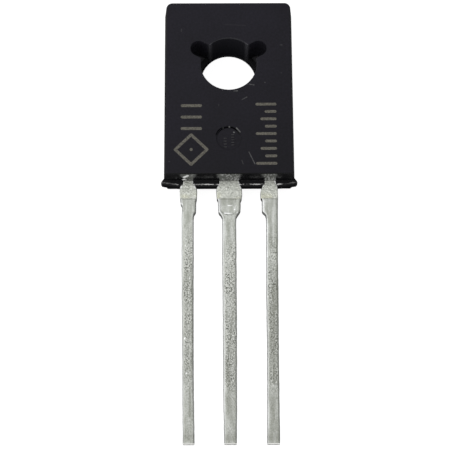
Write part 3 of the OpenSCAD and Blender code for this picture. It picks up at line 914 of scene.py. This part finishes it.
leg(
    "emitter_leg",
    left=[(-6.0, -2.678), (-6.91, -2.678), (-7.16, -2.768), (-7.34, -2.867), (-7.53, -2.875),
          (-8.02, -2.860), (-8.26, -2.815), (-8.36, -2.82), (-8.50, -2.745), (-8.64, -2.738),
          (-9.30, -2.757), (-11.8, -2.747), (-14.1, -2.735), (-17.05, -2.696), (-19.9, -2.675),
          (-21.95, -2.658), (-22.6, -2.655)],
    right=[(-6.0, -2.090), (-6.91, -2.090), (-7.16, -2.028), (-7.35, -1.925), (-7.53, -1.870),
           (-8.02, -1.888), (-8.28, -1.925), (-8.83, -1.938), (-9.02, -2.050), (-9.25, -2.067),
           (-14.1, -2.062), (-17.05, -2.059), (-19.9, -2.038), (-21.95, -2.007), (-22.6, -2.00)],
    seed=22,
    marks=[(-2.62, -6.98, -2.24, -7.14, 0.022, -0.65), (-2.60, -7.10, -2.45, -7.02, 0.020, -0.5),
           (-2.55, -7.35, -2.20, -7.60, 0.018, -0.4), (-2.20, -7.35, -2.55, -7.62, 0.018, -0.4),
           (-2.79, -7.23, -2.80, -7.38, 0.050, 0.8), (-2.00, -7.24, -1.96, -7.38, 0.050, 0.85),
           (-2.11, -7.00, -2.06, -7.16, 0.040, 0.85), (-2.65, -7.00, -2.71, -7.16, 0.030, 0.4),
           (-2.68, -6.935, -2.09, -6.935, 0.022, -0.7), (-2.75, -8.02, -1.95, -8.00, 0.025, 0.30),
           (-2.80, -8.085, -1.95, -8.08, 0.040, -0.35), (-2.76, -8.32, -2.72, -8.44, 0.040, 0.32),
           (-2.68, -8.50, -2.68, -8.80, 0.060, -0.35), (-2.00, -8.50, -2.02, -8.98, 0.050, -0.25),
           (-1.98, -8.93, -2.07, -9.07, 0.030, -0.25), (-2.37, -8.9, -2.35, -10.8, 0.055, -0.22),
           (-2.57, -9.70, -2.57, -9.76, 0.050, -0.35), (-2.15, -9.4, -2.14, -10.6, 0.030, 0.20),
           (-2.62, -11.6, -2.62, -14.6, 0.05, -0.16), (-2.30, -11.25, -2.22, -11.45, 0.030, -0.55),
           (-2.34, -11.60, -2.24, -11.75, 0.030, -0.50),
           (-2.25, -11.90, -2.20, -12.10, 0.030, -0.50),
           (-2.46, -10.40, -2.40, -10.55, 0.030, -0.45),
           (-2.52, -12.50, -2.44, -12.70, 0.030, -0.45), (-2.20, -12.3, -2.18, -13.4, 0.045, -0.34),
           (-2.45, -12.2, -2.42, -14.4, 0.040, -0.26), (-2.35, -10.0, -2.33, -21.8, 0.26, -0.07),
           (-2.54, -10.9, -2.54, -10.93, 0.035, 0.6), (-2.30, -12.9, -2.30, -12.93, 0.035, 0.6),
           (-2.08, -9.4, -2.03, -21.8, 0.055, 0.22), (-2.16, -13.5, -2.14, -18.1, 0.045, -0.40),
           (-2.56, -16.4, -2.56, -16.43, 0.040, 0.8), (-2.46, -18.4, -2.45, -18.43, 0.045, 0.9),
           (-2.30, -18.05, -2.20, -18.30, 0.030, -0.5), (-2.40, -18.5, -2.22, -18.65, 0.028, -0.5),
           (-2.18, -18.3, -2.20, -18.8, 0.030, -0.4), (-2.26, -19.2, -2.26, -20.9, 0.060, -0.42),
           (-2.66, -22.05, -2.00, -22.05, 0.22, -0.28)])
leg(
    "base_leg",
    left=[(-6.0, 2.030), (-6.93, 2.030), (-7.18, 1.965), (-7.46, 1.85), (-7.67, 1.797),
          (-7.99, 1.808), (-8.13, 1.885), (-8.83, 1.882), (-8.90, 1.94), (-9.03, 2.070),
          (-9.15, 2.107), (-9.98, 2.112), (-11.8, 2.090), (-14.1, 2.062), (-17.05, 2.070),
          (-19.9, 2.042), (-21.95, 2.008), (-22.6, 2.0)],
    right=[(-6.0, 2.690), (-6.93, 2.690), (-7.18, 2.772), (-7.46, 2.805), (-8.04, 2.812),
           (-8.40, 2.80), (-9.98, 2.787), (-11.8, 2.755), (-14.1, 2.757), (-17.05, 2.722),
           (-19.9, 2.710), (-22.6, 2.705)],
    seed=33,
    marks=[(2.05, -7.00, 1.99, -7.18, 0.042, 0.85), (1.98, -7.18, 1.90, -7.40, 0.030, 0.5),
           (2.64, -7.00, 2.73, -7.18, 0.042, 0.85), (2.74, -7.22, 2.77, -7.40, 0.035, 0.6),
           (2.03, -6.935, 2.70, -6.935, 0.022, -0.7), (1.86, -8.085, 2.78, -8.085, 0.035, -0.22),
           (1.83, -8.08, 1.87, -8.18, 0.035, -0.6), (1.97, -8.18, 1.98, -8.86, 0.07, 0.32),
           (2.20, -8.20, 2.22, -9.6, 0.07, -0.16), (1.92, -8.92, 2.07, -9.09, 0.030, -0.25),
           (2.17, -9.30, 2.17, -11.6, 0.05, 0.42), (2.37, -9.10, 2.39, -11.1, 0.06, -0.26),
           (2.52, -8.90, 2.51, -10.9, 0.030, 0.18), (2.73, -8.12, 2.69, -13.5, 0.07, -0.34),
           (2.62, -13.0, 2.60, -14.7, 0.08, -0.30), (2.43, -10.0, 2.36, -22.3, 0.35, -0.10),
           (2.47, -13.4, 2.42, -18.9, 0.080, -0.42), (2.30, -14.4, 2.28, -17.6, 0.045, -0.36),
           (2.12, -11.6, 2.07, -21.5, 0.050, 0.24), (2.70, -13.5, 2.68, -22.3, 0.050, -0.36),
           (2.15, -19.15, 2.55, -19.15, 0.12, 0.16), (2.46, -13.2, 2.40, -13.6, 0.030, -0.45),
           (2.38, -13.7, 2.44, -14.2, 0.030, -0.40), (2.35, -19.8, 2.33, -21.2, 0.10, -0.30),
           (2.03, -22.05, 2.70, -22.05, 0.20, -0.22)])
collector_pad = sealed_part("collector_frame", "collector_pad")
emitter_post = sealed_part("emitter_lead", "emitter_post")
base_post = sealed_part("base_lead", "base_post")
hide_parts("collector_frame")
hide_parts("emitter_lead")
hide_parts("base_lead")
marking()
dish_ticks()
dish_shoulder()

make_floor()
make_world()
softbox("key", place=(-45, -10, 120), size=110, level=0.35)
softbox("front_strip", place=(-20, -120, 60), size=60, level=0.10)

scene = bpy.context.scene
scene.view_settings.view_transform = "Standard"
